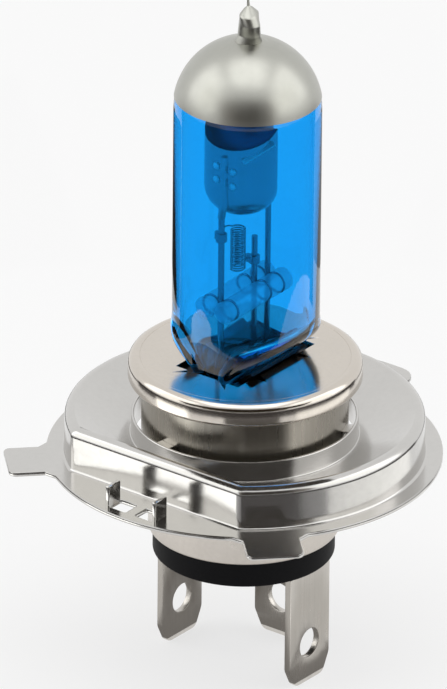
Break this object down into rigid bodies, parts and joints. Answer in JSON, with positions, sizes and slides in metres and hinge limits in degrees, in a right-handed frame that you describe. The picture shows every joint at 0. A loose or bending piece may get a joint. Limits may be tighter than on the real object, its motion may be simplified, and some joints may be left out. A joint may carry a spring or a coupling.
{
  "type": "headlight bulb",
  "caption": "Twin-filament headlight bulb: blue glass tube with a silver dome on a lugged focus ring, with flat blade terminals below.",
  "frame": {"origin": "on the lamp axis, in the plane of the brim's seating face", "axes": "+Z along the lamp axis towards the glass tip, +Y towards the wide lug"},
  "size_m": [0.043, 0.0481, 0.0788],
  "materials": {
    "blue_glass": "blue-tinted quartz glass",
    "dome_coat": "satin silver coat",
    "clear_quartz": "clear fused quartz",
    "post_wire": "drawn wire",
    "shield_sheet": "drawn sheet",
    "tungsten": "fine wire",
    "seal_foil": "thin foil",
    "lead_wire": "drawn wire",
    "collar_steel": "polished nickel",
    "spring_steel": "spring sheet",
    "ring_steel": "bright nickel sheet",
    "shell_steel": "satin nickel sheet",
    "black_insulator": "moulded black",
    "blade_metal": "brushed nickel"
  },
  "bodies": {
    "root": {"glass_envelope": "blue_glass", "dome_coating": "dome_coat", "quartz_bridge": "clear_quartz", "common_post": "post_wire", "high_beam_post": "post_wire", "low_beam_post": "post_wire", "high_beam_upper_clip": "post_wire", "high_beam_lower_clip": "post_wire", "low_beam_upper_clip": "post_wire", "low_beam_lower_clip": "post_wire", "low_beam_shield": "shield_sheet", "low_beam_filament": "tungsten", "high_beam_filament": "tungsten", "common_foil": "seal_foil", "high_beam_foil": "seal_foil", "low_beam_foil": "seal_foil", "common_lead": "lead_wire", "high_beam_lead": "lead_wire", "low_beam_lead": "lead_wire", "collar": "collar_steel", "pinch_spring": "spring_steel", "mounting_ring": "ring_steel", "base_shell": "shell_steel", "base_insulator": "black_insulator", "common_blade": "blade_metal", "high_beam_blade": "blade_metal", "low_beam_blade": "blade_metal"}
  },
  "joints": []
}
